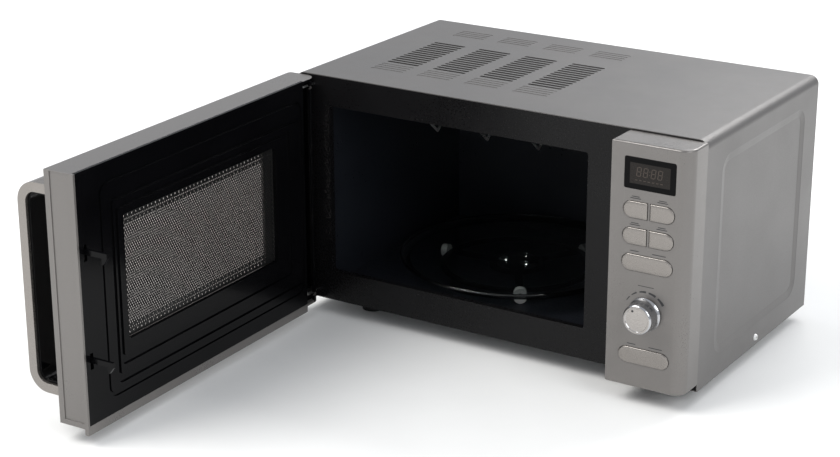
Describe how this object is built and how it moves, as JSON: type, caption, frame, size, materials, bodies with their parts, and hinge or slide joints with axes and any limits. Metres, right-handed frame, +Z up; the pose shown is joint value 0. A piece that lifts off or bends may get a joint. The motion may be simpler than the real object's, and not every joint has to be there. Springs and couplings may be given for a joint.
{
  "type": "microwave oven",
  "caption": "Countertop microwave oven with a side-hinged windowed door, bar handle, turntable, grill, display, push buttons and a rotary knob.",
  "frame": {"origin": "centre of the pattern of the four feet, on the worktop plane", "axes": "+Z up, +Y from the front to the back, +X to the right along the front"},
  "size_m": [0.49, 0.6338, 0.258],
  "materials": {
    "outer_cover": "satin silver-grey paint",
    "sheet_steel": "zinc-plated sheet",
    "front_black": "semi-gloss black enamel",
    "cavity_paint": "grey-blue cavity enamel",
    "mica": "mica sheet",
    "magnet_steel": "plated steel",
    "copper_fins": "aluminium fins on a copper core",
    "laminations": "varnished laminations",
    "windings": "taped copper windings",
    "can": "drawn aluminium can",
    "black_plastic": "fine texture",
    "white_plastic": "glass-filled",
    "ceramic": "glazed ceramic",
    "quartz": "frosted quartz tube",
    "bright_wire": "plated wire",
    "switch_red": "moulded",
    "board": "circuit board",
    "display_glass": "smoked window",
    "silver_paint": "satin silver paint on plastic",
    "tinted_glass": "smoked glass",
    "screen_metal": "perforated steel, painted",
    "satin_chrome": "satin chrome",
    "clear_glass": "tempered glass",
    "foot_rubber": "moulded rubber"
  },
  "bodies": {
    "cabinet": {"outer_cover": "outer_cover", "base_plate": "sheet_steel", "rear_panel": "sheet_steel", "front_plate": "front_black", "cavity_liner": "cavity_paint", "waveguide_cover": "mica", "waveguide": "sheet_steel", "magnetron_yoke": "magnet_steel", "magnetron_core": "copper_fins", "magnetron_filter": "sheet_steel", "transformer_core": "laminations", "transformer_windings": "windings", "capacitor": "can", "capacitor_clamp": "sheet_steel", "diode": "black_plastic", "fan_shroud": "white_plastic", "fan_motor": "laminations", "cavity_lamp": "ceramic", "thermal_cutouts": "ceramic", "grill_tubes": "quartz", "grill_holders": "ceramic", "grill_guard": "bright_wire", "interlock_bracket": "white_plastic", "microswitches": "switch_red", "hinge_brackets": "bright_wire", "turntable_motor": "sheet_steel", "filter_board": "board", "cord_gland": "black_plastic", "feet": "foot_rubber", "case_screws": "bright_wire", "control_panel": "silver_paint", "display_window": "display_glass", "display_module": "black_plastic", "control_board": "board", "encoder_body": "magnet_steel", "tact_switches": "black_plastic"},
    "door": {"door_frame": "silver_paint", "door_glass": "tinted_glass", "door_screen": "screen_metal", "choke_cover": "black_plastic", "door_handle": "satin_chrome", "handle_liner": "black_plastic", "handle_screws": "bright_wire", "latch_spring": "bright_wire"},
    "latch": {"latch_hooks": "black_plastic"},
    "upper_left_button": {"button_upper_left": "satin_chrome"},
    "upper_right_button": {"button_upper_right": "satin_chrome"},
    "middle_left_button": {"button_middle_left": "satin_chrome"},
    "middle_right_button": {"button_middle_right": "satin_chrome"},
    "stop_button": {"button_stop": "satin_chrome"},
    "start_button": {"button_start": "satin_chrome"},
    "dial": {"knob": "satin_chrome", "encoder_shaft": "bright_wire"},
    "turntable": {"turntable_glass": "clear_glass", "turntable_coupler": "black_plastic"},
    "ring": {"roller_ring": "black_plastic"},
    "wheel_1": {"roller_1": "white_plastic"},
    "wheel_2": {"roller_2": "white_plastic"},
    "wheel_3": {"roller_3": "white_plastic"},
    "fan": {"fan_blade": "white_plastic"}
  },
  "joints": [
    {"name": "door_hinge", "type": "hinge", "parent": "cabinet", "child": "door", "pos_m": [-0.213, -0.1435, 0.013], "axis": [0, 0, 1], "range_deg": [-3.3, 88.7]},
    {"name": "latch_slide", "type": "slide", "parent": "door", "child": "latch", "axis": [0, 0, 1], "range_m": [0, 0.003], "stiffness_N_per_m": 300, "springref_m": -0.004, "deforming": ["latch_spring"]},
    {"name": "upper_left_press", "type": "slide", "parent": "cabinet", "child": "upper_left_button", "axis": [0, 1, 0], "range_m": [0, 0.0012], "stiffness_N_per_m": 600, "springref_m": -0.0003},
    {"name": "upper_right_press", "type": "slide", "parent": "cabinet", "child": "upper_right_button", "axis": [0, 1, 0], "range_m": [0, 0.0012], "stiffness_N_per_m": 600, "springref_m": -0.0003},
    {"name": "middle_left_press", "type": "slide", "parent": "cabinet", "child": "middle_left_button", "axis": [0, 1, 0], "range_m": [0, 0.0012], "stiffness_N_per_m": 600, "springref_m": -0.0003},
    {"name": "middle_right_press", "type": "slide", "parent": "cabinet", "child": "middle_right_button", "axis": [0, 1, 0], "range_m": [0, 0.0012], "stiffness_N_per_m": 600, "springref_m": -0.0003},
    {"name": "stop_press", "type": "slide", "parent": "cabinet", "child": "stop_button", "axis": [0, 1, 0], "range_m": [0, 0.0012], "stiffness_N_per_m": 600, "springref_m": -0.0003},
    {"name": "start_press", "type": "slide", "parent": "cabinet", "child": "start_button", "axis": [0, 1, 0], "range_m": [0, 0.0012], "stiffness_N_per_m": 600, "springref_m": -0.0003},
    {"name": "knob_turn", "type": "hinge", "parent": "cabinet", "child": "dial", "pos_m": [0.186, -0.164, 0.0945], "axis": [0, 1, 0], "continuous": true},
    {"name": "turntable_spin", "type": "hinge", "parent": "cabinet", "child": "turntable", "pos_m": [-0.0407, -0.0024, 0.051], "axis": [0, 0, 1], "continuous": true},
    {"name": "ring_spin", "type": "hinge", "parent": "cabinet", "child": "ring", "pos_m": [-0.0407, -0.0024, 0.044], "axis": [0, 0, 1], "continuous": true},
    {"name": "wheel_1_spin", "type": "hinge", "parent": "ring", "child": "wheel_1", "pos_m": [-0.12565, -0.00537, 0.044], "axis": [-0.9994, -0.0349, 0], "continuous": true},
    {"name": "wheel_2_spin", "type": "hinge", "parent": "ring", "child": "wheel_2", "pos_m": [0.00434, -0.07448, 0.044], "axis": [0.5299, -0.848, 0], "continuous": true},
    {"name": "wheel_3_spin", "type": "hinge", "parent": "ring", "child": "wheel_3", "pos_m": [-0.0008, 0.07265, 0.044], "axis": [0.4695, 0.8829, 0], "continuous": true},
    {"name": "fan_spin", "type": "hinge", "parent": "cabinet", "child": "fan", "pos_m": [0.1664, 0.084, 0.181], "axis": [0, 1, 0], "continuous": true}
  ],
  "couplings": [
    {"joint": "ring_spin", "follows": "turntable_spin", "ratio": 0.5},
    {"joint": "wheel_1_spin", "follows": "turntable_spin", "ratio": -6.3433},
    {"joint": "wheel_2_spin", "follows": "turntable_spin", "ratio": -6.3433},
    {"joint": "wheel_3_spin", "follows": "turntable_spin", "ratio": -6.3433}
  ]
}
